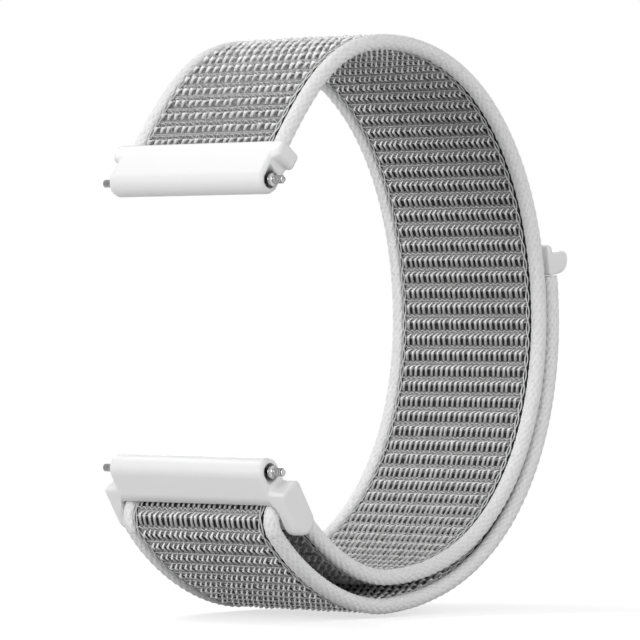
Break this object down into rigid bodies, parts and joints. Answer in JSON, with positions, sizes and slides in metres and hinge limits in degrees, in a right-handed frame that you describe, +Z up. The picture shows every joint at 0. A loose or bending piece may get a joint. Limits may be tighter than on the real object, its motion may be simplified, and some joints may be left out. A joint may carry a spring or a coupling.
{
  "type": "nylon watch strap",
  "caption": "Woven nylon hook-and-loop watch strap with corded edges, two moulded spring bar connectors and a moulded end tab, closed as worn.",
  "frame": {"origin": "middle of the upper spring bar, the one in the fixed connector", "axes": "X across the strap along the spring bars, +Y from the bars to the back of the loop, +Z up from the lower bar to the upper bar's side"},
  "size_m": [0.026, 0.0505, 0.0619],
  "materials": {
    "woven_nylon": "woven tape, rows of light and dark yarn",
    "cord_nylon": "fine braided cord",
    "hook_tape": "moulded hooks",
    "moulded_plastic": "satin moulding",
    "bar_steel": "polished",
    "spring_steel": "drawn wire"
  },
  "bodies": {
    "band_upper": {"fixed_connector": "moulded_plastic", "upper_bar_barrel": "bar_steel", "upper_bar_fixed_tip": "bar_steel", "upper_bar_spring": "spring_steel", "strap_weave_upper": "woven_nylon", "strap_cord_upper_left": "cord_nylon", "strap_cord_upper_right": "cord_nylon"},
    "upper_plunger": {"upper_bar_plunger": "bar_steel", "upper_bar_release_knob": "bar_steel"},
    "band_lower": {"strap_weave_lower": "woven_nylon", "strap_cord_lower_left": "cord_nylon", "strap_cord_lower_right": "cord_nylon", "strap_fold_weave": "woven_nylon", "strap_fold_cord_left": "cord_nylon", "strap_fold_cord_right": "cord_nylon"},
    "flap": {"flap_weave": "woven_nylon", "flap_cord_left": "cord_nylon", "flap_cord_right": "cord_nylon", "hook_pad": "hook_tape", "end_tab": "moulded_plastic"},
    "lower_loop": {"loop_connector": "moulded_plastic", "lower_bar_barrel": "bar_steel", "lower_bar_fixed_tip": "bar_steel", "lower_bar_spring": "spring_steel"},
    "lower_plunger": {"lower_bar_plunger": "bar_steel", "lower_bar_release_knob": "bar_steel"}
  },
  "joints": [
    {"name": "band_flex", "type": "hinge", "parent": "band_upper", "child": "band_lower", "pos_m": [0, 0.04402, -0.0029], "axis": [1, 0, 0], "range_deg": [-8, 40]},
    {"name": "flap_peel", "type": "hinge", "parent": "band_lower", "child": "flap", "pos_m": [0, 0.0033, -0.03546], "axis": [-1, 0, 0], "range_deg": [0, 60], "deforming": ["strap_fold_weave", "strap_fold_cord_left", "strap_fold_cord_right"]},
    {"name": "loop_swivel", "type": "hinge", "parent": "band_lower", "child": "lower_loop", "pos_m": [0, 0.0033, -0.03546], "axis": [1, 0, 0], "range_deg": [-25, 25]},
    {"name": "upper_bar_release", "type": "slide", "parent": "band_upper", "child": "upper_plunger", "axis": [-1, 0, 0], "range_m": [0, 0.0019], "stiffness_N_per_m": 2000, "deforming": ["upper_bar_spring"]},
    {"name": "lower_bar_release", "type": "slide", "parent": "lower_loop", "child": "lower_plunger", "axis": [-1, 0, 0], "range_m": [0, 0.0019], "stiffness_N_per_m": 2000, "deforming": ["lower_bar_spring"]}
  ]
}
